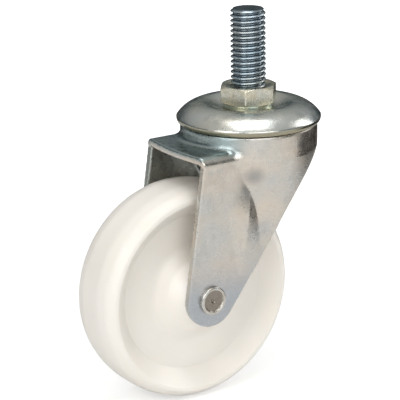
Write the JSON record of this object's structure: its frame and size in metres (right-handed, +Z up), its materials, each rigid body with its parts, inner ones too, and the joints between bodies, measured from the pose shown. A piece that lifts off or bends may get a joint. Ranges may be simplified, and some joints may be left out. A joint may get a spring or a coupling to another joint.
{
  "type": "swivel castor",
  "caption": "Swivel castor with a threaded stem, lock nut, domed cap, pressed steel fork and a solid nylon wheel on a riveted axle.",
  "frame": {"origin": "centre of the lock nut's top face, on the swivel axis, where the stem enters what it is screwed into", "axes": "+Z up along the stem and the swivel axis, +X the rolling direction with the wheel trailing towards -X, +Y along the wheel's axle"},
  "size_m": [0.0897, 0.0494, 0.1307],
  "materials": {
    "stem_zinc": "bright zinc plate, bluish, on rolled M12 thread",
    "nut_zinc": "zinc plate with a faint yellow passivation",
    "cap_zinc": "zinc plate over fine drawn grain, warm silver",
    "fork_zinc": "zinc plate with mottled warm and bluish passivation",
    "race_steel": "hardened steel, lightly greased",
    "ball_steel": "polished bearing steel",
    "sleeve_steel": "plain zinc-plated tube",
    "rivet_steel": "bright turned-over rim round a dull grey-brown dished face",
    "wheel_nylon": "natural white nylon, satin moulded skin"
  },
  "bodies": {
    "mount": {"stem": "stem_zinc", "lock_nut": "nut_zinc", "stem_washer": "nut_zinc", "top_cap": "cap_zinc", "lower_race": "race_steel"},
    "fork": {"fork": "fork_zinc", "axle_sleeve": "sleeve_steel", "axle_rivet": "rivet_steel"},
    "wheel": {"wheel": "wheel_nylon"},
    "upper_balls": {"upper_ball_01": "ball_steel", "upper_ball_02": "ball_steel", "upper_ball_03": "ball_steel", "upper_ball_04": "ball_steel", "upper_ball_05": "ball_steel", "upper_ball_06": "ball_steel", "upper_ball_07": "ball_steel", "upper_ball_08": "ball_steel", "upper_ball_09": "ball_steel", "upper_ball_10": "ball_steel", "upper_ball_11": "ball_steel", "upper_ball_12": "ball_steel", "upper_ball_13": "ball_steel", "upper_ball_14": "ball_steel", "upper_ball_15": "ball_steel", "upper_ball_16": "ball_steel", "upper_ball_17": "ball_steel", "upper_ball_18": "ball_steel"},
    "lower_balls": {"lower_ball_01": "ball_steel", "lower_ball_02": "ball_steel", "lower_ball_03": "ball_steel", "lower_ball_04": "ball_steel", "lower_ball_05": "ball_steel", "lower_ball_06": "ball_steel", "lower_ball_07": "ball_steel", "lower_ball_08": "ball_steel", "lower_ball_09": "ball_steel", "lower_ball_10": "ball_steel", "lower_ball_11": "ball_steel", "lower_ball_12": "ball_steel"}
  },
  "joints": [
    {"name": "swivel", "type": "hinge", "parent": "mount", "child": "fork", "pos_m": [0, 0, 0], "axis": [0, 0, 1], "continuous": true},
    {"name": "wheel_spin", "type": "hinge", "parent": "fork", "child": "wheel", "pos_m": [-0.0275, 0, -0.06722], "axis": [0, 1, 0], "continuous": true},
    {"name": "upper_ball_orbit", "type": "hinge", "parent": "mount", "child": "upper_balls", "pos_m": [0, 0, 0], "axis": [0, 0, 1], "continuous": true},
    {"name": "lower_ball_orbit", "type": "hinge", "parent": "mount", "child": "lower_balls", "pos_m": [0, 0, 0], "axis": [0, 0, 1], "continuous": true}
  ],
  "couplings": [
    {"joint": "upper_ball_orbit", "follows": "swivel", "ratio": 0.5},
    {"joint": "lower_ball_orbit", "follows": "swivel", "ratio": 0.5}
  ]
}
